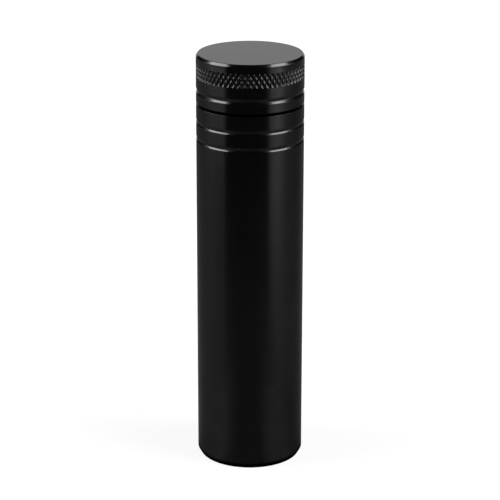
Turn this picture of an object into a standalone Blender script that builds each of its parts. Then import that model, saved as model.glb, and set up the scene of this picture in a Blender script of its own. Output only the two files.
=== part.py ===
"""Screw-cap tube case, turned from aluminium bar: a threaded body with a seal on its neck, a
knurled screw cap, a plug in its foot, and a soft lining.

Metres, +Z up. The origin is the centre of the foot, on the surface that the case stands on.
The cap turns about the Z axis on a right-hand thread, so it rises THREAD_LEAD for each turn.
"""

import math

import bmesh
import bpy

MM = 0.001

# Outside
OUTER_R = 12.7 * MM        # body and cap share one outer radius (25.4 mm bar)
HEIGHT = 100.0 * MM        # foot to the top of the closed cap
FOOT_BREAK_W = 0.65 * MM   # the foot's and the top's edges are broken more steeply than 45 degrees
FOOT_BREAK_H = 1.15 * MM
TOP_BREAK_W = 0.43 * MM
TOP_BREAK_H = 0.63 * MM
SHOULDER_Z = 87.85 * MM    # top of the body's full diameter
SHOULDER_BREAK = 0.05 * MM
MOUTH_Z = 88.2 * MM        # lower edge of the cap; the seam is the gap between the two
MOUTH_BREAK = 0.4 * MM

# Ring grooves: shallow cuts with a long upper flank and a short lower one, as (height of the
# deepest line, depth, height of the upper flank, height of the lower flank)
CAP_GROOVE = (91.14 * MM, 0.34 * MM, 0.80 * MM, 0.46 * MM)
BODY_GROOVES = (
    (83.73 * MM, 0.24 * MM, 0.72 * MM, 0.31 * MM),
    (79.65 * MM, 0.24 * MM, 0.72 * MM, 0.31 * MM),
)

# Knurled grip band: its diamond points stand flush with the outer radius, and this band is the
# mean surface between the points and the bottoms of the cuts
KNURL_LOW_Z = 94.67 * MM
KNURL_HIGH_Z = 97.85 * MM
KNURL_RELIEF = 0.15 * MM   # how far the band's mean surface lies inside the outer radius

# Bore, neck and foot
BORE_R = 9.2 * MM
NECK_R = 10.3 * MM
NECK_TOP_Z = 96.8 * MM
NECK_LEAD_IN = 0.4 * MM
SEAT_R = 9.95 * MM         # floor of the O-ring's seat
SEAT_LOW_Z = 88.3 * MM
SEAT_HIGH_Z = 89.9 * MM
PLUG_BORE_R = 10.2 * MM
PLUG_BORE_TOP_Z = 3.2 * MM

# Thread
THREAD_LEAD = 1.5 * MM
MALE_CREST_R = 11.0 * MM
MALE_CREST_W = 0.35 * MM
MALE_ROOT_W = 1.16 * MM
MALE_LOW_Z = 90.9 * MM     # centre of the ridge at its first and last points
MALE_TURNS = 3.2
FEMALE_ROOT_R = 11.15 * MM
FEMALE_CREST_R = 10.45 * MM
FEMALE_CREST_W = 0.3 * MM
FEMALE_ROOT_W = 1.1 * MM
FEMALE_LOW_Z = 90.9 * MM + 0.5 * THREAD_LEAD
FEMALE_TURNS = 2.9
THREAD_BITE = 0.2 * MM     # how far a ridge is sunk into the wall that carries it

# Cap
CAP_ROOF_Z = 98.2 * MM
COUNTERBORE_R = 11.5 * MM
COUNTERBORE_TOP_Z = 90.3 * MM

# Loose pieces
PLUG_R = 9.9 * MM
PLUG_LOW_Z = 0.4 * MM
PLUG_HIGH_Z = 2.9 * MM
PLUG_CHAMFER = 0.4 * MM
O_RING_R = 10.65 * MM      # centre line
O_RING_SECTION_R = 0.55 * MM
O_RING_Z = 89.1 * MM
GASKET_R = 10.6 * MM
GASKET_LOW_Z = 97.1 * MM
GASKET_HIGH_Z = 97.9 * MM
CAP_PAD_R = 7.5 * MM
CAP_PAD_LOW_Z = 94.8 * MM
CAP_PAD_HIGH_Z = 96.8 * MM
SLEEVE_OUTER_R = 8.9 * MM
SLEEVE_INNER_R = 8.1 * MM
SLEEVE_LOW_Z = 3.2 * MM
SLEEVE_HIGH_Z = 96.0 * MM
BASE_PAD_R = 7.8 * MM
BASE_PAD_LOW_Z = 3.2 * MM
BASE_PAD_HIGH_Z = 6.2 * MM

STEPS = 48                 # facets around a metal piece
SOFT_STEPS = 40            # facets around a soft piece
THREAD_STEPS = 36          # facets in one turn of a thread ridge
THREAD_START = math.radians(3.1)   # keeps a ridge's corners off the walls' own edges


def clear_scene():
    for obj in list(bpy.data.objects):
        bpy.data.objects.remove(obj, do_unlink=True)


def collection(name):
    made = bpy.data.collections.new(name)
    bpy.context.scene.collection.children.link(made)
    return made


def material(name, colour, roughness, metallic=0.0):
    mat = bpy.data.materials.new(name)
    mat.use_nodes = True
    shader = mat.node_tree.nodes["Principled BSDF"]
    shader.inputs["Base Color"].default_value = (*colour, 1.0)
    shader.inputs["Roughness"].default_value = roughness
    shader.inputs["Metallic"].default_value = metallic
    return mat


def outline(name, points, closed, into):
    """An object whose mesh is a chain of edges through (radius, z) points, on the XZ plane."""
    bm = bmesh.new()
    verts = [bm.verts.new((r, 0.0, z)) for r, z in points]
    pairs = list(zip(verts, verts[1:])) + ([(verts[-1], verts[0])] if closed else [])
    for a, b in pairs:
        bm.edges.new((a, b))
    mesh = bpy.data.meshes.new(name)
    bm.to_mesh(mesh)
    bm.free()
    obj = bpy.data.objects.new(name, mesh)
    into.objects.link(obj)
    return obj


def screw(obj, steps, turns=1.0, rise=0.0, merge=True):
    mod = obj.modifiers.new("Turn", "SCREW")
    mod.axis = "Z"
    mod.angle = 2.0 * math.pi * turns
    mod.screw_offset = rise
    mod.steps = mod.render_steps = steps
    mod.use_merge_vertices = merge
    mod.merge_threshold = 0.00001
    mod.use_smooth_shade = False
    return mod


def turned(name, points, steps, into, mat, on_axis=False):
    """A turned solid. points run down the outer side from the top, then back up the inside.

    on_axis: the profile's two ends lie on the axis and the rest closes around it."""
    obj = outline(name, points, not on_axis, into)
    screw(obj, steps)
    obj.data.materials.append(mat)
    return obj


def smooth(obj, degrees=35.0):
    obj.data.shade_smooth()
    obj.data.set_sharp_from_angle(angle=math.radians(degrees))


def applied(obj):
    """Puts an object's evaluated mesh in place of its mesh and modifiers."""
    graph = bpy.context.evaluated_depsgraph_get()
    mesh = bpy.data.meshes.new_from_object(obj.evaluated_get(graph))
    obj.modifiers.clear()
    obj.data = mesh
    return obj


def ridge(name, crest_r, crest_w, root_r, root_w, bite, low_z, turns, start, into):
    """A helical thread ridge: a trapezium swept up a helix, with capped ends. Its flanks go on
    straight past root_r, by bite, into the wall that carries it, and it sinks into that wall
    over its first and last sixth of a turn, like a thread's run-out."""
    out = 1.0 if crest_r > root_r else -1.0
    foot_r = root_r - out * bite
    foot_w = root_w + (root_w - crest_w) / abs(crest_r - root_r) * bite
    count = round(turns * THREAD_STEPS)
    fade = THREAD_STEPS / 6.0
    bm = bmesh.new()
    rings = []
    for i in range(count + 1):
        angle = start + 2.0 * math.pi * i / THREAD_STEPS
        z0 = low_z + THREAD_LEAD * i / THREAD_STEPS
        grown = min(1.0, (i + 0.5) / fade, (count - i + 0.5) / fade)
        top_r = foot_r + (crest_r - foot_r) * grown
        section = (
            (foot_r, 0.5 * foot_w),
            (top_r, 0.5 * crest_w),
            (top_r, -0.5 * crest_w),
            (foot_r, -0.5 * foot_w),
        )
        rings.append([bm.verts.new((r * math.cos(angle), r * math.sin(angle), z0 + dz))
                      for r, dz in section])
    for a, b in zip(rings, rings[1:]):
        for k in range(4):
            m = (k + 1) % 4
            bm.faces.new((a[k], b[k], b[m], a[m]))
    bm.faces.new(rings[0])
    bm.faces.new(list(reversed(rings[-1])))
    bmesh.ops.triangulate(bm, faces=bm.faces)
    bmesh.ops.recalc_face_normals(bm, faces=bm.faces)
    mesh = bpy.data.meshes.new(name)
    bm.to_mesh(mesh)
    bm.free()
    obj = bpy.data.objects.new(name, mesh)
    into.objects.link(obj)
    obj.hide_render = True
    obj.display_type = "WIRE"
    return obj


def join_ridge(obj, helper):
    mod = obj.modifiers.new("Thread", "BOOLEAN")
    mod.operation = "UNION"
    mod.solver = "EXACT"
    mod.object = helper


def groove(z, depth, above, below, r=OUTER_R):
    """Profile points of a ring groove, met from above."""
    return [(r, z + above), (r - depth, z), (r, z - below)]


def tube_body(into, helpers, mat):
    points = [
        (BORE_R + 0.2 * MM, NECK_TOP_Z),
        (NECK_R - NECK_LEAD_IN, NECK_TOP_Z),
        (NECK_R, NECK_TOP_Z - NECK_LEAD_IN),
        (NECK_R, SEAT_HIGH_Z),
        (SEAT_R, SEAT_HIGH_Z),
        (SEAT_R, SEAT_LOW_Z),
        (NECK_R, SEAT_LOW_Z),
        (NECK_R, SHOULDER_Z),
        (OUTER_R - SHOULDER_BREAK, SHOULDER_Z),
        (OUTER_R, SHOULDER_Z - SHOULDER_BREAK),
    ]
    for cut in BODY_GROOVES:
        points += groove(*cut)
    points += [
        (OUTER_R, FOOT_BREAK_H),
        (OUTER_R - FOOT_BREAK_W, 0.0),
        (PLUG_BORE_R + 0.3 * MM, 0.0),
        (PLUG_BORE_R, 0.3 * MM),
        (PLUG_BORE_R, PLUG_BORE_TOP_Z),
        (BORE_R, PLUG_BORE_TOP_Z),
        (BORE_R, NECK_TOP_Z - 0.2 * MM),
    ]
    obj = applied(turned("tube_body", points, STEPS, into, mat))
    thread = ridge("male_thread", MALE_CREST_R, MALE_CREST_W, NECK_R, MALE_ROOT_W,
                   THREAD_BITE, MALE_LOW_Z, MALE_TURNS, THREAD_START, helpers)
    join_ridge(obj, thread)
    smooth(applied(obj))
    return obj


def cap_shell(into, helpers, mat):
    rim = OUTER_R - KNURL_RELIEF
    points = [
        (0.0, HEIGHT),
        (OUTER_R - TOP_BREAK_W, HEIGHT),
        (OUTER_R, HEIGHT - TOP_BREAK_H),
        (OUTER_R, KNURL_HIGH_Z + KNURL_RELIEF),
        (rim, KNURL_HIGH_Z),
        (rim, KNURL_LOW_Z),
        (OUTER_R, KNURL_LOW_Z - KNURL_RELIEF),
        *groove(*CAP_GROOVE),
        (OUTER_R, MOUTH_Z + MOUTH_BREAK),
        (OUTER_R - MOUTH_BREAK, MOUTH_Z),
        (COUNTERBORE_R, MOUTH_Z),
        (COUNTERBORE_R, COUNTERBORE_TOP_Z),
        (FEMALE_ROOT_R, COUNTERBORE_TOP_Z),
        (FEMALE_ROOT_R, CAP_ROOF_Z),
        (0.0, CAP_ROOF_Z),
    ]
    obj = applied(turned("cap_shell", points, STEPS, into, mat, on_axis=True))
    thread = ridge("female_thread", FEMALE_CREST_R, FEMALE_CREST_W, FEMALE_ROOT_R, FEMALE_ROOT_W,
                   THREAD_BITE, FEMALE_LOW_Z, FEMALE_TURNS, THREAD_START, helpers)
    join_ridge(obj, thread)
    smooth(applied(obj))
    return obj


def disc(name, r, low_z, high_z, chamfer, steps, into, mat):
    """A flat round piece with broken edges."""
    points = [
        (0.0, high_z),
        (r - chamfer, high_z),
        (r, high_z - chamfer),
        (r, low_z + chamfer),
        (r - chamfer, low_z),
        (0.0, low_z),
    ]
    obj = turned(name, points, steps, into, mat, on_axis=True)
    smooth(applied(obj))
    return obj


def o_ring(into, mat):
    sides = 12
    points = []
    for k in range(sides):
        a = math.pi / 2.0 - 2.0 * math.pi * k / sides
        points.append((O_RING_R + O_RING_SECTION_R * math.cos(a),
                       O_RING_Z + O_RING_SECTION_R * math.sin(a)))
    obj = turned("neck_o_ring", points, STEPS, into, mat)
    smooth(applied(obj), 60.0)
    return obj


def sleeve(into, mat):
    points = [
        (SLEEVE_INNER_R, SLEEVE_HIGH_Z),
        (SLEEVE_OUTER_R, SLEEVE_HIGH_Z),
        (SLEEVE_OUTER_R, SLEEVE_LOW_Z),
        (SLEEVE_INNER_R, SLEEVE_LOW_Z),
    ]
    obj = turned("inner_sleeve", points, SOFT_STEPS, into, mat)
    smooth(applied(obj))
    return obj


def on_joint(name, objects, into):
    """An empty on the cap's axis, which carries the pieces of one moving body."""
    empty = bpy.data.objects.new(name, None)
    empty.empty_display_size = 0.01
    into.objects.link(empty)
    for obj in objects:
        obj.parent = empty
    return empty


def main():
    clear_scene()
    parts = collection("screw_cap_tube_case")
    helpers = collection("cutters")

    anodised = material("black_anodised_aluminium", (0.018, 0.018, 0.019), 0.3, 0.6)
    plug_metal = material("plug_aluminium", (0.03, 0.03, 0.032), 0.35, 0.6)
    rubber = material("o_ring_rubber", (0.015, 0.015, 0.015), 0.5)
    liner = material("liner_rubber", (0.03, 0.03, 0.03), 0.7)
    foam = material("foam", (0.045, 0.045, 0.048), 0.95)
    felt = material("felt", (0.06, 0.06, 0.065), 0.95)

    tube_body(parts, helpers, anodised)
    disc("base_plug", PLUG_R, PLUG_LOW_Z, PLUG_HIGH_Z, PLUG_CHAMFER, STEPS, parts, plug_metal)
    disc("base_pad", BASE_PAD_R, BASE_PAD_LOW_Z, BASE_PAD_HIGH_Z, 0.4 * MM, SOFT_STEPS, parts, foam)
    sleeve(parts, felt)
    o_ring(parts, rubber)
    gasket = disc("cap_gasket", GASKET_R, GASKET_LOW_Z, GASKET_HIGH_Z, 0.15 * MM, SOFT_STEPS,
                  parts, liner)
    pad = disc("cap_pad", CAP_PAD_R, CAP_PAD_LOW_Z, CAP_PAD_HIGH_Z, 0.4 * MM, SOFT_STEPS,
               parts, foam)
    cap = cap_shell(parts, helpers, anodised)

    seal = on_joint("cap_seal_axis", [gasket, pad], parts)
    turn = on_joint("cap_turn_axis", [cap], parts)
    turn.parent = seal


main()
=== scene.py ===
import math

import bmesh
import bpy
import numpy as np
from mathutils import Matrix, Vector, noise


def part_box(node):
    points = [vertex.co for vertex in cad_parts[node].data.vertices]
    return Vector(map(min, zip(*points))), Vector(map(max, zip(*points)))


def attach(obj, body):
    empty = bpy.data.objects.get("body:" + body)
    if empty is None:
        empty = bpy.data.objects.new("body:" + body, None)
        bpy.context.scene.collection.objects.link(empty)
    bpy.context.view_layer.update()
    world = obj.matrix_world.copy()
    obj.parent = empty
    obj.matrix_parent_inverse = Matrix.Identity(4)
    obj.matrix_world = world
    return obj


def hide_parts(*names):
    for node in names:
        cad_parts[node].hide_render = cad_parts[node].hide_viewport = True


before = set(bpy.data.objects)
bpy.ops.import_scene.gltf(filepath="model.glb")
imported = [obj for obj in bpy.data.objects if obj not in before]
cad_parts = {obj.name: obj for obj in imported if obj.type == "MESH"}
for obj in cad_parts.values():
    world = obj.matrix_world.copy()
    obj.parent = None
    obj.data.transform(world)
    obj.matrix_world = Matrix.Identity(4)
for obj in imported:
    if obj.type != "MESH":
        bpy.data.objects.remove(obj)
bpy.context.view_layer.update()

MM = 0.001

# ---------------------------------------------------------------------------------------------
# Sizes, in millimetres. Overall sizes come from the frame; the rest is the finished detail.
# ---------------------------------------------------------------------------------------------
body_low, body_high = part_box("tube_body")
cap_low, cap_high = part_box("cap_shell")
R = body_high.x / MM               # outer radius of the body and the cap
RIM = body_high.z / MM             # rim of the neck
TOP = cap_high.z / MM              # top of the cap
MOUTH = cap_low.z / MM             # lower edge of the cap
SHOULDER = 87.85

LEAD = 1.5                         # one turn of the thread
THREAD_START = 3.1 / 360.0         # where on the circle both threads start, in turns
MALE_Z, MALE_TURNS = 90.9, 3.2
FEMALE_Z, FEMALE_TURNS = 91.65, 2.9

DIAMONDS, PER = 64, 12             # diamonds round the grip band, mesh columns to each
DIAMOND_H = 1.93                   # height of one diamond
KNURL_DEPTH = 0.23
KNURL_FLAT = 0.28                  # share of a diamond left flat on top
KNURL_LOW, KNURL_HIGH = 94.67, 97.85
N = DIAMONDS * PER // 3            # columns of the plain turned surfaces

GROOVES = (83.73, 79.65)           # deepest line of each V groove in the body
CAP_GROOVE = 91.14                 # the same in the cap


# ---------------------------------------------------------------------------------------------
# Turned surfaces
# ---------------------------------------------------------------------------------------------
def rounded(corners, steps=3):
    """(r, z, fillet) corners as (r, z, wear) points with each corner rounded, and a guard ring
    near both ends of each long wall, so that walls shade flat. wear is 1 at the middle of an
    outward corner, where a finish rubs thin."""
    cuts = []
    for i, (r, z, fillet) in enumerate(corners):
        if fillet <= 0 or i in (0, len(corners) - 1):
            cuts.append([(r, z, 0.0)])
            continue
        p = np.array((r, z))
        a, b = np.array(corners[i - 1][:2]) - p, np.array(corners[i + 1][:2]) - p
        la, lb = np.linalg.norm(a), np.linalg.norm(b)
        a, b = a / la, b / lb
        inside = math.acos(max(-1.0, min(1.0, float(a @ b))))
        cut = min(fillet / math.tan(inside / 2), 0.45 * la, 0.45 * lb)
        size = cut * math.tan(inside / 2)
        centre = p + (a + b) / np.linalg.norm(a + b) * (size / math.sin(inside / 2))
        v0, v1, sweep = p + a * cut - centre, p + b * cut - centre, math.pi - inside
        # the way round is: outer side down, inner side up, so a left turn is an inward corner
        outward = (-a[0]) * b[1] - (-a[1]) * b[0] < 0
        arc = []
        for k in range(steps + 1):
            t = k / steps
            q = centre + (v0 * math.sin((1 - t) * sweep) + v1 * math.sin(t * sweep)) / math.sin(sweep)
            arc.append((float(q[0]), float(q[1]), math.sin(math.pi * t) if outward else 0.0))
        cuts.append(arc)
    out = list(cuts[0])
    for arc in cuts[1:]:
        (r0, z0, _), (r1, z1, _) = out[-1], arc[0]
        gap = math.hypot(r1 - r0, z1 - z0)
        if gap > 0.4:
            t = 0.05 / gap
            out.append((r0 + (r1 - r0) * t, z0 + (z1 - z0) * t, 0.0))
            out.append((r1 + (r0 - r1) * t, z1 + (z0 - z1) * t, 0.0))
        out += arc
    return out


class Turned:
    """A surface made of rings about Z, each joined to the one before. All in millimetres."""

    def __init__(self):
        self.co, self.wear, self.faces, self.last, self.first = [], [], [], None, None
        self.cut = {}              # how far each point lies down a rolled flank

    def ring(self, r, z, n, wear=0.0):
        start = len(self.co)
        t = 2 * math.pi * np.arange(n) / n
        r, z = np.broadcast_to(r, n), np.broadcast_to(z, n)
        self.co += np.stack([r * np.cos(t), r * np.sin(t), z], 1).tolist()
        self.wear += np.broadcast_to(wear, n).tolist()
        return list(range(start, start + n))

    def face(self, *ids):
        kept = [i for k, i in enumerate(ids) if i != ids[k - 1]]
        if len(kept) >= 3:
            self.faces.append(tuple(kept))

    def join(self, a, b):
        if len(a) == len(b):
            for j in range(len(a)):
                m = (j + 1) % len(a)
                self.face(a[j], b[j], b[m], a[m])
        elif len(a) == 1 or len(b) == 1:
            n = max(len(a), len(b))
            for j in range(n):
                m = (j + 1) % n
                self.face(a[j % len(a)], b[j % len(b)], b[m % len(b)] if len(b) > 1 else a[m])
        else:
            fine, coarse = (a, b) if len(a) > len(b) else (b, a)
            k = len(fine) // len(coarse)
            for i in range(len(coarse)):
                near, far = coarse[i], coarse[(i + 1) % len(coarse)]
                for t in range(k):
                    x, y = fine[i * k + t], fine[(i * k + t + 1) % len(fine)]
                    tip = near if t < k - k // 2 else far
                    self.face(*((x, tip, y) if fine is a else (tip, x, y)))
                x = fine[(i * k + k - k // 2) % len(fine)]
                self.face(*((x, near, far) if fine is a else (near, x, far)))

    def go(self, ring):
        if self.last is None:
            self.first = ring
        else:
            self.join(self.last, ring)
        self.last = ring
        return ring

    def profile(self, points, n=N):
        for r, z, wear in points:
            self.go(self.ring(r, z, 1 if r <= 1e-9 else n, wear))

    def close(self):
        self.join(self.last, self.first)

    def knurl(self, low, high, row_at=0):
        """Two crossed families of V cuts with narrow flats left on top of the diamonds. The cuts
        run out on a short slope where they meet the plain bands."""
        n, step = DIAMONDS * PER, DIAMOND_H / PER
        rows = int((high - low - 0.06) / step)
        col = np.arange(n)
        self.go(self.ring(R, high, n, 0.5))
        rings = []
        for i in range(rows + 1):
            z = high - 0.06 - step * i
            a, b = (col + i + row_at) / PER % 1, (col - i - row_at) / PER % 1
            rise = np.minimum(1 - 2 * np.abs(a - 0.5), 1 - 2 * np.abs(b - 0.5))
            height = np.minimum(rise / (1 - KNURL_FLAT), 1.0) ** 1.5    # round at the root
            rings.append(self.ring(R - KNURL_DEPTH * (1 - height), z, n,
                                   np.where(height > 0.99, 1.0, 0.0)))
            self.cut.update(zip(rings[-1], np.clip((1 - height) * 3, 0, 1)))
        self.go(rings[0])
        for i in range(rows):
            upper, lower = rings[i], rings[i + 1]
            for j in range(n):
                m = (j + 1) % n
                s, d = (j + i + row_at + 1) % PER, (j - i - row_at) % PER
                # each cell is split along the cut that its flank belongs to, so flanks are flat
                if min(d, PER - d) < min(s, PER - s):
                    self.face(upper[j], lower[j], lower[m])
                    self.face(upper[j], lower[m], upper[m])
                else:
                    self.face(upper[j], lower[j], upper[m])
                    self.face(lower[j], lower[m], upper[m])
        self.last = rings[-1]
        self.go(self.ring(R, low - 0.12, n, 0.5))

    def thread(self, low, high, root, crest, crest_w, root_w, centre, turns, up):
        """A right-hand thread on a plain wall between two rings, low and high. The rows of points
        follow the helix and the ridge sinks into the wall over a sixth of a turn at each end."""
        n = len(low)
        z_low, z_high = self.co[low[0]][2], self.co[high[0]][2]
        half = 0.5 * LEAD
        knots = [-half, -0.5 * root_w, -0.25 * (root_w + crest_w), -0.5 * crest_w, 0.0,
                 0.5 * crest_w, 0.25 * (root_w + crest_w), 0.5 * root_w]
        per = len(knots)
        first = math.floor((z_low - centre) / LEAD) - 2
        last = math.ceil((z_high - centre) / LEAD) + 2
        turn = np.arange(n) / n
        rows = []
        for k in range(first, last + 1):
            for off in knots:
                along = k + turn - THREAD_START
                z = centre + LEAD * along + off
                sink = np.clip(np.minimum(along, turns - along) * 6.0, 0.0, 1.0)
                h = float(np.interp(abs(off), [0.5 * crest_w, 0.5 * root_w], [1.0, 0.0]))
                r = root + (crest - root) * h * sink
                row = []
                for j in range(n):
                    if z[j] <= z_low + 0.02:
                        row.append(low[j])
                    elif z[j] >= z_high - 0.02:
                        row.append(high[j])
                    else:
                        a = 2 * math.pi * turn[j]
                        self.co.append([r[j] * math.cos(a), r[j] * math.sin(a), float(z[j])])
                        self.wear.append(0.9 if h > 0.99 and sink[j] > 0.5 else 0.0)
                        row.append(len(self.co) - 1)
                rows.append(row)
        for k in range(len(rows) - 1):
            for j in range(n):
                if j < n - 1:
                    lo1, hi1 = rows[k][j + 1], rows[k + 1][j + 1]
                else:
                    lo1 = rows[k + per][0] if k + per < len(rows) else high[0]
                    hi1 = rows[k + 1 + per][0] if k + 1 + per < len(rows) else high[0]
                lo0, hi0 = rows[k][j], rows[k + 1][j]
                self.face(*((lo0, hi0, hi1, lo1) if up else (hi0, lo0, lo1, hi1)))

    def made(self, name, sharp=34.0):
        mesh = bpy.data.meshes.new(name)
        mesh.from_pydata((np.array(self.co) * MM).tolist(), [], self.faces)
        mesh.attributes.new("wear", "FLOAT", "POINT").data.foreach_set(
            "value", np.array(self.wear, np.float32))
        mesh.attributes.new("cut", "FLOAT", "POINT").data.foreach_set(
            "value", np.array([self.cut.get(i, 0.0) for i in range(len(self.co))], np.float32))
        bm = bmesh.new()
        bm.from_mesh(mesh)
        bmesh.ops.delete(bm, geom=[v for v in bm.verts if not v.link_faces], context="VERTS")
        bm.to_mesh(mesh)
        bm.free()
        mesh.update()
        return placed(name, mesh, sharp)


def placed(name, mesh, sharp=34.0):
    obj = bpy.data.objects.new(name, mesh)
    bpy.context.scene.collection.objects.link(obj)
    mesh.shade_smooth()
    mesh.set_sharp_from_angle(angle=math.radians(sharp))
    return obj


def groove(z, depth, over, under):
    """A shallow V cut whose upper wall is the longer one and rolls softly into the plain wall."""
    return [(R, z + over, 0.9), (R - depth, z, 0.04), (R, z - under, 0.03)]


def smooth(x):
    x = max(0.0, min(1.0, x))
    return x * x * (3 - 2 * x)


# ---------------------------------------------------------------------------------------------
# The tube: one turning with a threaded neck, grooves and a plugged bottom end
# ---------------------------------------------------------------------------------------------
def make_body():
    t = Turned()
    corners = [(10.3, 90.0, 0), (10.3, 89.9, 0.04), (9.95, 89.9, 0.04), (9.95, 88.3, 0.08),
               (10.3, 88.3, 0.04), (10.3, SHOULDER, 0.04), (R - 0.03, SHOULDER, 0.02),
               (R, SHOULDER - 0.03, 0.02)]
    for z in GROOVES:
        corners += groove(z, 0.24, 0.72, 0.31)
    corners += [(R, 1.15, 0.06), (12.05, 0.0, 0.06), (10.5, 0.0, 0.04), (10.2, 0.3, 0.04),
                (10.2, 3.2, 0.04), (9.2, 3.2, 0.04), (9.2, RIM - 0.2, 0.04), (9.4, RIM, 0.04),
                (9.9, RIM, 0.05), (10.3, RIM - 0.4, 0.05), (10.3, RIM - 0.5, 0)]
    t.profile(rounded(corners))
    t.thread(t.first, t.last, 10.3, 11.0, 0.35, 1.16, MALE_Z, MALE_TURNS, up=False)
    return t.made("turned_tube_body")


def make_cap():
    t = Turned()
    top = [(0.0, TOP, 0), (1.0, TOP, 0), (3.0, TOP, 0), (6.0, TOP, 0), (9.0, TOP, 0),
           (12.27, TOP, 0.2), (R - 0.020, TOP - 0.63, 0.05), (R - 0.018, 98.7, 0.3),
           (R, KNURL_HIGH + 0.03, 0)]
    t.profile(rounded(top, 5))
    t.knurl(KNURL_LOW, KNURL_HIGH, -1)
    lower = [(R, KNURL_LOW - 0.2, 0)] + groove(CAP_GROOVE, 0.34, 0.80, 0.46) + [
        (R, MOUTH + 0.4, 0.06), (12.3, MOUTH, 0.06), (11.5, MOUTH, 0.05), (11.5, 90.3, 0.05),
        (11.15, 90.3, 0.04), (11.15, 90.42, 0)]
    t.profile(rounded(lower))
    low = t.last
    high = t.ring(11.15, 98.05, N)
    t.thread(low, high, 11.15, 10.45, 0.3, 1.1, FEMALE_Z, FEMALE_TURNS, up=True)
    t.last = high
    t.profile(rounded([(11.15, 98.06, 0), (11.15, 98.2, 0.04), (8.0, 98.2, 0), (4.0, 98.2, 0),
                       (0.0, 98.2, 0)])[1:])
    return t.made("knurled_cap_shell")


def make_plug():
    t = Turned()
    t.profile(rounded([(0.0, 2.9, 0), (4.0, 2.9, 0), (9.5, 2.9, 0.04), (9.9, 2.5, 0.05),
                       (9.9, 0.8, 0.05), (9.5, 0.4, 0.06), (5.0, 0.4, 0), (1.1, 0.4, 0.05),
                       (0.0, 0.85, 0)]), 180)
    return t.made("pressed_base_plug")


# ---------------------------------------------------------------------------------------------
# Soft and rubber pieces, in mesh code
# ---------------------------------------------------------------------------------------------
def make_o_ring():
    """A moulded ring, with the fine flash line of its mould and a touch of squash in its seat."""
    t = Turned()
    centre, section, n = 10.60, 0.55, 28
    angles = np.arange(200) / 200 * 2 * math.pi
    wobble = 0.012 * np.sin(3 * angles + 0.6) + 0.008 * np.sin(7 * angles)
    for i in range(n):
        a = -2 * math.pi * i / n
        flash = 0.035 * math.exp(-((math.sin(a)) / 0.12) ** 2) * (1 if math.cos(a) > 0 else 0)
        s = section + flash
        t.go(t.ring(centre + s * math.cos(a), 89.1 + 0.96 * section * math.sin(a) + wobble, 200))
    t.close()
    return t.made("moulded_neck_o_ring", 60)


def make_gasket():
    """The cap's liner: a punched disc with the print of the rim on its lower face."""
    t = Turned()
    rings = [(0.0, 97.9), (3.0, 97.9), (6.0, 97.9), (8.5, 97.9), (10.2, 97.9), (10.45, 97.88),
             (10.57, 97.80), (10.6, 97.68), (10.6, 97.32), (10.57, 97.2), (10.45, 97.12),
             (10.25, 97.1), (10.15, 97.11), (10.0, 97.17), (9.85, 97.21), (9.65, 97.22),
             (9.45, 97.21), (9.3, 97.17), (9.15, 97.11), (9.0, 97.1), (7.0, 97.1), (5.0, 97.1),
             (2.5, 97.1), (0.0, 97.1)]
    for k, (r, z) in enumerate(rings):
        if r == 0:
            t.go(t.ring(0.0, z, 1))
            continue
        ids = t.ring(r, z, 160)
        for i in ids:
            x, y, h = t.co[i]
            t.co[i][2] = h + 0.012 * noise.noise(Vector((x * 0.5, y * 0.5, 3.0 + k * 0.02)))
        t.go(ids)
    return t.made("cap_liner_gasket", 40)


def make_pad(name, radius, low, high, face_up, seed):
    """A punched foam disc. Its free face is softly crowned, its edge eased, and open cells pit
    the whole skin."""
    t = Turned()
    n, mid = 132, 0.5 * (low + high)
    ease = 0.42
    outline = [(0.0, high)]
    outline += [(radius * k / 17, high) for k in range(1, 17)]
    outline += [(radius - ease + ease * math.sin(a), high - ease + ease * math.cos(a))
                for a in np.linspace(0, math.pi / 2, 5)]
    outline += [(radius, high - ease + (low - high + 2 * ease) * k / 5) for k in range(1, 5)]
    outline += [(radius - ease + ease * math.cos(a), low + ease - ease * math.sin(a))
                for a in np.linspace(0, math.pi / 2, 5)]
    outline += [(radius * k / 17, low) for k in range(16, 0, -1)]
    outline += [(0.0, low)]
    for r, z in outline:
        if r == 0:
            ids = t.ring(0.0, z, 1)
        else:
            ids = t.ring(r, z, n)
        free = (z > mid) if face_up else (z < mid)
        for i in ids:
            x, y, h = t.co[i]
            d = math.hypot(x, y)
            if free:
                crown = 0.30 * smooth((radius - d) / radius * 1.6)
                h -= math.copysign(0.30 - crown, 1 if face_up else -1)
            p = Vector((x, y, h)) * 2.4 + Vector((seed, 0, 0))
            cell = noise.noise(p) * 0.06 + noise.noise(p * 2.3) * 0.035
            inward = Vector((-x, -y, (mid - h) * 3.0)).normalized()
            pit = max(0.0, cell + 0.03)
            t.co[i] = [x + inward.x * pit, y + inward.y * pit,
                       min(high, max(low, h + inward.z * pit))]
        t.go(ids)
    return t.made(name, 75)


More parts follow.
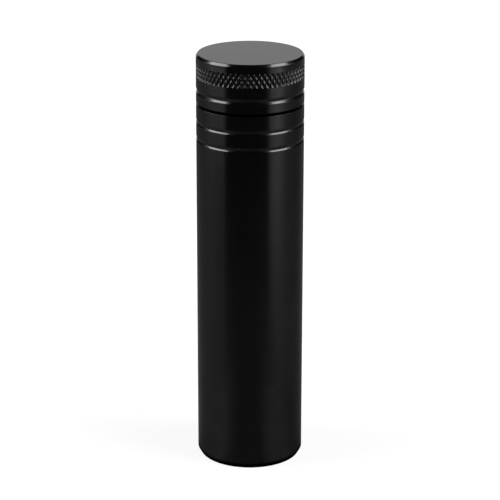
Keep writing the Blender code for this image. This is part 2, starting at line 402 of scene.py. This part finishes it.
def make_sleeve():
    """Felt rolled into the bore, its two long edges butted at a seam. A closed sheet with a soft,
    slightly uneven nap and eased ends."""
    low, high, inner, outer = 3.2, 96.0, 8.1, 8.9
    mid, half = 0.5 * (inner + outer), 0.5 * (outer - inner)
    columns, rows, gap = 132, 84, math.radians(1.4)
    seam = math.radians(118)
    # around the section of the sheet: out one face, over the end, back down the other
    co, faces = [], []

    def point(a, z, side, s_edge, z_edge):
        # side runs from -1 on the inner face to 1 on the outer one
        wave = 0.035 * noise.noise(Vector((3 * math.cos(a), 3 * math.sin(a), z * 0.09)))
        nap = 0.05 * noise.noise(Vector((9 * math.cos(a), 9 * math.sin(a), z * 1.4 + 7)))
        nap += 0.03 * noise.noise(Vector((24 * math.cos(a), 24 * math.sin(a), z * 3.1)))
        thick = half * (0.90 + 0.10 * min(s_edge, z_edge))
        r = mid + side * thick + (wave + nap) * (1.0 if side < 0 else 0.35) - 0.03
        return (r * math.cos(a), r * math.sin(a), z)

    sides = [-1.0, -0.92, -0.55, 0.0, 0.55, 0.92, 1.0]
    pulled = [0.30, 0.12, 0.03, 0.0, 0.03, 0.12, 0.30]     # how far the rounded end pulls back
    loop = []                                              # one lengthwise strip, as (z, side)
    inner_z = [low + 0.30 + (high - low - 0.60) * k / rows for k in range(rows + 1)]
    loop += [(z, -1.0) for z in inner_z]
    loop += [(high - p, s) for s, p in zip(sides[1:-1], pulled[1:-1])]
    loop += [(z, 1.0) for z in reversed(inner_z)]
    loop += [(low + p, s) for s, p in zip(reversed(sides[1:-1]), reversed(pulled[1:-1]))]
    size = len(loop)
    for c in range(columns + 1):
        a = seam + gap / 2 + (2 * math.pi - gap) * c / columns
        s_edge = smooth(min(c, columns - c) / 3.0)
        for z, side in loop:
            z_edge = smooth(min(z - low, high - z) / 1.2)
            co.append(point(a, z, side, s_edge, z_edge))
    for c in range(columns):
        for k in range(size):
            m = (k + 1) % size
            faces.append((c * size + k, c * size + m, (c + 1) * size + m, (c + 1) * size + k))
    # the two butted edges, as strips from the inner to the outer face
    def edge(c, flip):
        base = c * size
        up = list(range(rows + 1))
        down = [rows + 1 + len(sides) - 2 + (rows - k) for k in up]
        for k in range(rows):
            quad = (base + up[k], base + down[k], base + down[k + 1], base + up[k + 1])
            faces.append(quad if flip else quad[::-1])
        over = [base + rows] + [base + rows + 1 + i for i in range(len(sides) - 2)] + [base + down[rows]]
        under = [base + down[0]] + [base + size - (len(sides) - 2) + i for i in range(len(sides) - 2)] + [base]
        faces.append(tuple(over) if flip else tuple(reversed(over)))
        faces.append(tuple(under) if flip else tuple(reversed(under)))
    edge(0, False)
    edge(columns, True)
    mesh = bpy.data.meshes.new("rolled_felt_sleeve")
    mesh.from_pydata([tuple(x * MM for x in p) for p in co], [], faces)
    bm = bmesh.new()
    bm.from_mesh(mesh)
    bmesh.ops.recalc_face_normals(bm, faces=bm.faces)
    bm.to_mesh(mesh)
    bm.free()
    return placed("rolled_felt_sleeve", mesh, 70)


# ---------------------------------------------------------------------------------------------
# Materials
# ---------------------------------------------------------------------------------------------
class Nodes:
    def __init__(self, name):
        self.material = bpy.data.materials.new(name)
        self.material.use_nodes = True
        self.tree = self.material.node_tree
        self.tree.nodes.clear()
        self.out = self.add("ShaderNodeOutputMaterial")
        self.place = self.add("ShaderNodeTexCoord").outputs["Object"]

    def add(self, kind, _in=None, **props):
        node = self.tree.nodes.new(kind)
        for key, value in props.items():
            setattr(node, key, value)
        for key, value in (_in or {}).items():
            if isinstance(value, bpy.types.NodeSocket):
                self.tree.links.new(value, node.inputs[key])
            else:
                node.inputs[key].default_value = value
        return node

    def math(self, op, a, b=0.0, c=0.0, clamp=False):
        node = self.add("ShaderNodeMath", {0: a, 1: b, 2: c}, operation=op)
        node.use_clamp = clamp
        return node.outputs[0]

    def noise(self, vector, scale, detail=2.0, rough=0.5):
        return self.add("ShaderNodeTexNoise", {"Vector": vector, "Scale": scale, "Detail": detail,
                                               "Roughness": rough}).outputs["Fac"]

    def remap(self, value, a, b, c, d):
        return self.add("ShaderNodeMapRange", {"Value": value, "From Min": a, "From Max": b,
                                               "To Min": c, "To Max": d}).outputs["Result"]

    def mix(self, fac, a, b):
        node = self.add("ShaderNodeMix", data_type="RGBA")
        for name, value in (("Factor", fac), ("A", a), ("B", b)):
            socket = [s for s in node.inputs if s.name == name and s.enabled][0]
            if isinstance(value, bpy.types.NodeSocket):
                self.tree.links.new(value, socket)
            else:
                socket.default_value = value
        return [s for s in node.outputs if s.enabled][0]

    def bump(self, height, distance, strength=1.0, below=None):
        node = self.add("ShaderNodeBump", {"Height": height, "Distance": distance,
                                           "Strength": strength})
        if below is not None:
            self.tree.links.new(below, node.inputs["Normal"])
        return node.outputs["Normal"]

    def principled(self, **sockets):
        node = self.add("ShaderNodeBsdfPrincipled")
        for key, value in sockets.items():
            key = key.replace("_", " ")
            if isinstance(value, bpy.types.NodeSocket):
                self.tree.links.new(value, node.inputs[key])
            else:
                node.inputs[key].default_value = value
        self.tree.links.new(node.outputs[0], self.out.inputs["Surface"])
        return node


def grey(v, warm=0.0):
    return (v * (1 + warm), v, v * (1 - warm), 1.0)


def rings_vector(n, fine=1.0):
    """Coordinates that change fast along a turned wall or out from the centre of a faced end, and
    slowly round it, as the marks of a lathe tool do."""
    x = n.add("ShaderNodeSeparateXYZ", {"Vector": n.place}).outputs
    out = n.math("SQRT", n.math("ADD", n.math("MULTIPLY", x["X"], x["X"]),
                                n.math("MULTIPLY", x["Y"], x["Y"])))
    across = n.math("ADD", n.math("MULTIPLY", out, 1.0), n.math("MULTIPLY", x["Z"], 1.0))
    drift = n.noise(n.place, 60.0, 1.0)
    across = n.math("MULTIPLY_ADD", drift, 0.00012, across)
    return n.add("ShaderNodeCombineXYZ", {"X": n.math("MULTIPLY", across, 9000.0 * fine),
                                          "Y": n.math("MULTIPLY", x["X"], 45.0),
                                          "Z": n.math("MULTIPLY", x["Y"], 45.0)}).outputs[0]


def anodised(name, seed, wear=0.5, nick=None, rough=(0.15, 0.19)):
    """Black hard-anodised aluminium: dye-black oxide over fine turning marks, with a few hair
    scratches and the metal just showing on the sharpest edges."""
    n = Nodes(name)
    moved = n.add("ShaderNodeVectorMath", {0: n.place, 1: (seed, seed * 0.7, seed * 0.3)},
                  operation="ADD").outputs[0]
    marks = n.noise(rings_vector(n), 1.0, 2.0, 0.55)
    cloud = n.noise(moved, 160.0, 3.0, 0.6)
    grain = n.noise(moved, 5200.0, 2.0, 0.6)
    # hair scratches: thin level lines of a stretched noise, kept only in some patches
    tilt = n.add("ShaderNodeMapping", {"Vector": moved, "Rotation": (0.5, 0.35, 0.9),
                                       "Scale": (30.0, 420.0, 60.0)}).outputs[0]
    line = n.math("ABSOLUTE", n.math("SUBTRACT", n.noise(tilt, 1.0, 1.0), 0.5))
    hair = n.math("LESS_THAN", line, 0.0016)
    patch = n.remap(n.noise(moved, 90.0, 1.0), 0.58, 0.68, 0.0, 1.0)
    scratch = n.math("MULTIPLY", hair, patch)
    edge = n.add("ShaderNodeAttribute", attribute_name="wear").outputs["Fac"]
    rub = n.remap(n.math("MULTIPLY_ADD", cloud, 0.7, n.noise(moved, 1500.0, 3.0, 0.65)),
                  1.10, 1.20, 0.0, 1.0)
    bare = n.math("MULTIPLY", n.math("MULTIPLY", edge, rub), wear, clamp=True)
    if nick is not None:
        # one small knock on the lip of a groove, through to metal
        far = n.add("ShaderNodeVectorMath", {0: n.place, 1: nick}, operation="DISTANCE").outputs["Value"]
        ragged = n.math("MULTIPLY_ADD", n.noise(moved, 2600.0, 2.0), 0.0004, far)
        bare = n.math("MAXIMUM", bare, n.remap(ragged, 0.00062, 0.00050, 0.0, 0.8))
    colour = n.mix(n.remap(cloud, 0.3, 0.7, 0.0, 1.0), grey(0.0003, 0.0), grey(0.0006, 0.01))
    colour = n.mix(bare, colour, grey(0.30, 0.01))
    colour = n.mix(n.math("MULTIPLY", scratch, 0.012), colour, grey(0.25))
    rolled = n.add("ShaderNodeAttribute", attribute_name="cut").outputs["Fac"]
    roughness = n.math("ADD", n.remap(cloud, 0.3, 0.7, rough[0], rough[1]),
                       n.math("MULTIPLY", scratch, 0.08))
    roughness = n.math("MULTIPLY_ADD", rolled, n.remap(grain, 0.3, 0.7, 0.16, 0.30), roughness)
    normal = n.bump(marks, 1.5e-6)
    normal = n.bump(grain, 0.5e-6, 1.0, normal)
    normal = n.bump(scratch, -0.5e-6, 0.5, normal)
    # the sealed skin is a shade uneven, and duller down the rolled flanks
    skin = n.remap(n.noise(moved, 75.0, 4.0, 0.65), 0.3, 0.7, 0.455, 0.545)
    skin = n.math("MULTIPLY_ADD", rolled, -0.26, skin)
    n.principled(Base_Color=colour, Roughness=roughness, Normal=normal, IOR=1.36,
                 Specular_IOR_Level=skin,
                 Metallic=n.math("MULTIPLY", bare, 0.7))
    return n.material


def rubber(name, tone, seed, rough=(0.42, 0.58)):
    n = Nodes(name)
    moved = n.add("ShaderNodeVectorMath", {0: n.place, 1: (seed, 0.0, seed)}, operation="ADD").outputs[0]
    skin = n.noise(moved, 3500.0, 3.0, 0.6)
    cloud = n.noise(moved, 240.0, 2.0)
    dust = n.remap(n.noise(moved, 6500.0, 2.0, 0.7), 0.66, 0.74, 0.0, 0.35)
    colour = n.mix(n.remap(cloud, 0.3, 0.7, 0.0, 1.0), grey(tone * 0.8), grey(tone * 1.25))
    colour = n.mix(dust, colour, grey(tone * 4.0))
    n.principled(Base_Color=colour, Roughness=n.remap(cloud, 0.3, 0.7, *rough),
                 Normal=n.bump(skin, 6e-6), IOR=1.5)
    return n.material


def foam(name, tone):
    n = Nodes(name)
    cell = n.add("ShaderNodeTexVoronoi", {"Vector": n.place, "Scale": 2300.0}).outputs["Distance"]
    small = n.noise(n.place, 4200.0, 3.0, 0.6)
    cloud = n.noise(n.place, 300.0, 2.0)
    pit = n.remap(cell, 0.0, 0.75, 0.0, 1.0)
    # darker towards the cell edges, where the bump sinks the surface, and lighter on the cell tops: painted
    # shade in the pits
    colour = n.mix(pit, grey(tone * 1.5), grey(tone * 0.45))
    colour = n.mix(n.remap(cloud, 0.35, 0.65, 0.0, 0.5), colour, grey(tone * 1.2))
    normal = n.bump(small, 1.2e-5, 1.0, n.bump(cell, -9e-5))
    n.principled(Base_Color=colour, Roughness=n.remap(small, 0.3, 0.7, 0.8, 1.0), Normal=normal,
                 IOR=1.45, Sheen_Weight=0.25, Sheen_Roughness=0.6)
    return n.material


def felt(name, tone):
    n = Nodes(name)
    wander = n.add("ShaderNodeTexNoise", {"Vector": n.place, "Scale": 500.0, "Detail": 2.0})
    bent = n.add("ShaderNodeVectorMath", {0: wander.outputs["Color"], 1: (0.0016, 0.0016, 0.0016),
                                          2: n.place}, operation="MULTIPLY_ADD").outputs[0]
    one = n.noise(n.add("ShaderNodeMapping", {"Vector": bent, "Rotation": (0.3, 0.8, 0.1),
                                              "Scale": (5200.0, 900.0, 700.0)}).outputs[0], 1.0, 3.0)
    two = n.noise(n.add("ShaderNodeMapping", {"Vector": bent, "Rotation": (1.1, 0.2, 1.3),
                                              "Scale": (800.0, 700.0, 5600.0)}).outputs[0], 1.0, 3.0)
    fibre = n.math("MAXIMUM", one, two)
    cloud = n.noise(n.place, 220.0, 3.0)
    fleck = n.remap(n.noise(bent, 5200.0, 1.0), 0.70, 0.76, 0.0, 0.7)
    colour = n.mix(n.remap(fibre, 0.45, 0.75, 0.0, 1.0), grey(tone * 0.45), grey(tone * 1.5))
    colour = n.mix(n.remap(cloud, 0.3, 0.7, 0.0, 0.35), colour, grey(tone))
    colour = n.mix(fleck, colour, grey(tone * 3.0))
    n.principled(Base_Color=colour, Roughness=n.remap(fibre, 0.3, 0.8, 0.85, 1.0),
                 Normal=n.bump(fibre, 8e-5), IOR=1.4, Sheen_Weight=0.5, Sheen_Roughness=0.5)
    return n.material


# ---------------------------------------------------------------------------------------------
# Pieces
# ---------------------------------------------------------------------------------------------
black_body = anodised("black_anodised_body", 3.0)
black_cap = anodised("black_anodised_cap", 11.0)
black_plug = anodised("black_anodised_plug", 19.0, wear=0.8)

PIECES = (
    (make_body(), "tube", "tube_body", "anodised_body", black_body),
    (make_cap(), "cap", "cap_shell", "anodised_cap", black_cap),
    (make_plug(), "tube", "base_plug", "anodised_plug", black_plug),
    (make_o_ring(), "tube", "neck_o_ring", "seal_rubber", rubber("black_nitrile", 0.012, 5.0)),
    (make_gasket(), "cap_seal", "cap_gasket", "liner_rubber", rubber("grey_liner_rubber", 0.05, 9.0)),
    (make_pad("foam_base_pad", 7.8, 3.2, 6.2, True, 4.0), "tube", "base_pad", "pad_foam",
     foam("charcoal_foam", 0.035)),
    (make_pad("foam_cap_pad", 7.5, 94.8, 96.8, False, 21.0), "cap_seal", "cap_pad", "pad_foam", None),
    (make_sleeve(), "tube", "inner_sleeve", "sleeve_felt", felt("charcoal_felt", 0.03)),
)
for piece, body, node, slot, material in PIECES:
    material = material or bpy.data.materials["charcoal_foam"]
    piece.data.materials.append(material)
    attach(piece, body)
    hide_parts(node)
    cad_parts[node].data.materials.clear()
    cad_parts[node].data.materials.append(material)

# ---------------------------------------------------------------------------------------------
# Stage: pale floor, two soft boxes, a pale backdrop, and a glowing card of painted reflections with dark flags
# and a painted contact shadow. None of it is part of the object, and only the floor is seen by the camera.
# ---------------------------------------------------------------------------------------------
scene = bpy.context.scene
scene.view_settings.view_transform = "Standard"
scene.view_settings.look = "None"
scene.view_settings.exposure = 0.0
scene.view_settings.gamma = 1.0


def staged(name, points, faces, material, camera=True, shadow=True):
    mesh = bpy.data.meshes.new(name)
    mesh.from_pydata(points, [], faces)
    mesh.materials.append(material)
    obj = bpy.data.objects.new(name, mesh)
    scene.collection.objects.link(obj)
    obj.visible_camera = camera
    obj.visible_shadow = shadow
    obj.visible_diffuse = shadow
    return obj


def floor_material():
    """A pale matt table top. Seen directly it glows almost to white, so that only the soft
    shadow at the object's foot shows; the glow is painted dimmer close to the object, so part of that shadow
    is painted shade."""
    n = Nodes("pale_floor")
    cloud = n.noise(n.place, 6.0, 3.0)
    fibre = n.noise(n.place, 900.0, 3.0)
    away = n.add("ShaderNodeVectorMath", {0: n.place}, operation="LENGTH").outputs["Value"]
    # camera-only glow, dimmer within 0.16 m of the object: painted shade round the foot
    glow_painted_dim_at_foot = n.remap(away, 0.02, 0.16, 0.86, 1.0)
    rough = n.bump(fibre, 2e-5)
    tint = n.mix(n.math("MULTIPLY", cloud, 0.5), grey(0.50), grey(0.53))
    table = n.add("ShaderNodeBsdfDiffuse", {"Color": tint, "Normal": rough}).outputs[0]
    faint = n.add("ShaderNodeBsdfDiffuse", {"Color": n.mix(cloud, grey(0.09), grey(0.10)),
                                            "Normal": rough}).outputs[0]
    glow = n.add("ShaderNodeEmission", {"Color": grey(1.0), "Strength": glow_painted_dim_at_foot}).outputs[0]
    seen = n.add("ShaderNodeAddShader", {0: faint, 1: glow}).outputs[0]
    direct = n.add("ShaderNodeLightPath").outputs["Is Camera Ray"]
    n.tree.links.new(n.add("ShaderNodeMixShader", {0: direct, 1: table, 2: seen}).outputs[0],
                     n.out.inputs["Surface"])
    return n.material


def card_material(name, radiance, ripple=0.06):
    n = Nodes(name)
    cloud = n.noise(n.place, 3.0, 2.0)
    strength = n.remap(cloud, 0.3, 0.7, radiance * (1 - ripple), radiance * (1 + ripple))
    glow = n.add("ShaderNodeEmission", {"Color": grey(1.0), "Strength": strength}).outputs[0]
    n.tree.links.new(glow, n.out.inputs["Surface"])
    return n.material


def painted_reflection_card():
    """A glowing card round the object, seen only in reflections, that paints what the polished wall
    reflects of the table top: a painted reflection whose tone changes softly from a dark flag in
    front, through pale sides, to a darker back, and to white further out, with a painted black line
    of contact shadow at the foot. Directions are in degrees seen from above, 0 towards the camera
    and positive to its right; tones are at the object's foot and 0.03, 0.10, 0.24, 0.32 and 0.60 m from it."""
    plan = ((-180, 0.10, 0.15, 0.20, 0.15, 0.12, 0.30), (-156, 0.12, 0.15, 0.15, 0.09, 0.07, 0.20),
            (-140, 0.12, 0.15, 0.15, 0.13, 0.11, 0.25), (-122, 0.12, 0.16, 0.17, 0.16, 0.13, 0.30),
            (-104, 0.11, 0.16, 0.24, 0.28, 0.26, 0.45), (-90, 0.09, 0.23, 0.35, 0.38, 0.50, 0.80),
            (-74, 0.14, 0.33, 0.40, 0.37, 0.70, 1.20), (-58, 0.24, 0.45, 0.42, 0.36, 0.85, 1.40),
            (-50, 0.33, 0.48, 0.28, 0.08, 0.05, 0.05), (-42, 0.43, 0.42, 0.20, 0.08, 0.05, 0.05),
            (-30, 0.27, 0.25, 0.19, 0.08, 0.05, 0.05), (-18, 0.17, 0.17, 0.17, 0.08, 0.05, 0.05),
            (16, 0.17, 0.17, 0.17, 0.08, 0.05, 0.05), (27, 0.36, 0.32, 0.20, 0.08, 0.05, 0.05),
            (36, 0.36, 0.42, 0.24, 0.08, 0.05, 0.05), (46, 0.32, 0.42, 0.36, 0.84, 1.00, 1.30),
            (58, 0.22, 0.37, 0.46, 1.00, 1.20, 1.50), (70, 0.10, 0.28, 0.42, 0.68, 0.80, 1.00),
            (80, 0.06, 0.19, 0.34, 0.38, 0.36, 0.40), (92, 0.07, 0.14, 0.27, 0.27, 0.24, 0.30),
            (112, 0.08, 0.12, 0.17, 0.15, 0.12, 0.25), (128, 0.09, 0.12, 0.14, 0.13, 0.10, 0.25),
            (145, 0.10, 0.13, 0.15, 0.14, 0.11, 0.25), (180, 0.10, 0.15, 0.20, 0.15, 0.12, 0.30))
    n = Nodes("painted_reflection_card")
    tone = n.add("ShaderNodeAttribute", attribute_name="tone").outputs["Fac"]
    cloud = n.remap(n.noise(n.place, 8.0, 2.0), 0.3, 0.7, 0.96, 1.04)
    glow = n.add("ShaderNodeEmission", {"Color": grey(1.0),
                                        "Strength": n.math("MULTIPLY", tone, cloud)}).outputs[0]
    n.tree.links.new(glow, n.out.inputs["Surface"])
    angles = [row[0] for row in plan]
    reach = [0.01212, 0.0129, 0.0134, 0.0147, 0.017, 0.02, 0.025, 0.03, 0.045, 0.07, 0.10, 0.15,
             0.20, 0.24, 0.28, 0.32, 0.38, 0.46, 0.60, 0.80]
    points, faces, tones = [], [], []
    steps = 180
    for k in range(steps):
        deg = -180 + 360 * k / steps
        a = math.radians(deg)
        line = [np.interp(deg, angles, [row[c] for row in plan]) for c in range(1, 7)]
        for d in reach:
            points.append((d * math.sin(a), -d * math.cos(a), 0.00006 if d < 0.0125 else 0.0006))
            tone = np.interp(d, [0.0147, 0.03, 0.10, 0.24, 0.32, 0.60], line)
            # the glow falls to black close to the foot: painted contact shadow in the reflection
            tones.append(float(tone) * smooth((d - 0.0131) / 0.0014))
    size = len(reach)
    for k in range(steps):
        m = (k + 1) % steps
        for i in range(size - 1):
            faces.append((k * size + i, k * size + i + 1, m * size + i + 1, m * size + i))
    card = staged("painted_reflection_card", points, faces, n.material, False, False)
    card.data.attributes.new("tone", "FLOAT", "POINT").data.foreach_set(
        "value", np.array(tones, np.float32))


staged("floor", [(-2, -2, 0), (2, -2, 0), (2, 2, 0), (-2, 2, 0)], [(0, 1, 2, 3)], floor_material())
staged("backdrop", [(-0.32, 0.62, 0.03), (0.32, 0.62, 0.03), (0.32, 0.62, 0.50), (-0.32, 0.62, 0.50)],
       [(0, 3, 2, 1)], card_material("backdrop", 0.70), False, False)
staged("ceiling", [(-0.55, 0.55, 0.45), (0.55, 0.55, 0.45), (0.55, 0.02, 0.85), (-0.55, 0.02, 0.85)],
       [(0, 3, 2, 1)], card_material("ceiling", 0.62), False, False)
painted_reflection_card()


def soft_box(name, x, y, z, wide, tall, lean, radiance):
    """An upright area light at one side, facing the object, its top leaning to the camera."""
    data = bpy.data.lights.new(name, "AREA")
    data.shape = "RECTANGLE"
    data.size, data.size_y = wide, tall
    data.energy = radiance * 4 * wide * tall
    obj = bpy.data.objects.new(name, data)
    scene.collection.objects.link(obj)
    facing = Matrix.Rotation(math.radians(-90 if x < 0 else 90), 4, "Z") @ Matrix.Rotation(
        math.radians(90), 4, "X")
    obj.matrix_world = Matrix.Translation((x, y, z)) @ Matrix.Rotation(
        math.radians(lean), 4, "X") @ facing
    obj.visible_camera = False
    return obj


soft_box("soft_box_left", -0.60, -0.064, 0.47, 0.35, 0.84, 22.0, 10.5)
soft_box("soft_box_right", 0.60, -0.250, 0.47, 0.54, 0.84, 19.5, 10.5)

world = bpy.data.worlds.new("studio")
scene.world = world
world.use_nodes = True
tree = world.node_tree
tree.nodes.clear()
path = tree.nodes.new("ShaderNodeLightPath")
dark, white = tree.nodes.new("ShaderNodeBackground"), tree.nodes.new("ShaderNodeBackground")
dark.inputs["Color"].default_value = (0.025, 0.025, 0.025, 1)
white.inputs["Color"].default_value = (1.05, 1.05, 1.05, 1)
blend = tree.nodes.new("ShaderNodeMixShader")
out = tree.nodes.new("ShaderNodeOutputWorld")
tree.links.new(path.outputs["Is Camera Ray"], blend.inputs[0])
tree.links.new(dark.outputs[0], blend.inputs[1])
tree.links.new(white.outputs[0], blend.inputs[2])
tree.links.new(blend.outputs[0], out.inputs["Surface"])

camera = bpy.data.objects.new("camera", bpy.data.cameras.new("camera"))
scene.collection.objects.link(camera)
camera.data.sensor_width = 36.0
camera.data.lens = 150.44
camera.data.clip_start, camera.data.clip_end = 0.01, 20.0
camera.location = (-0.00019, -0.4742, 0.2126)
camera.rotation_euler = (math.radians(90.0 - 18.757), -0.0012, 0.0)
scene.camera = camera
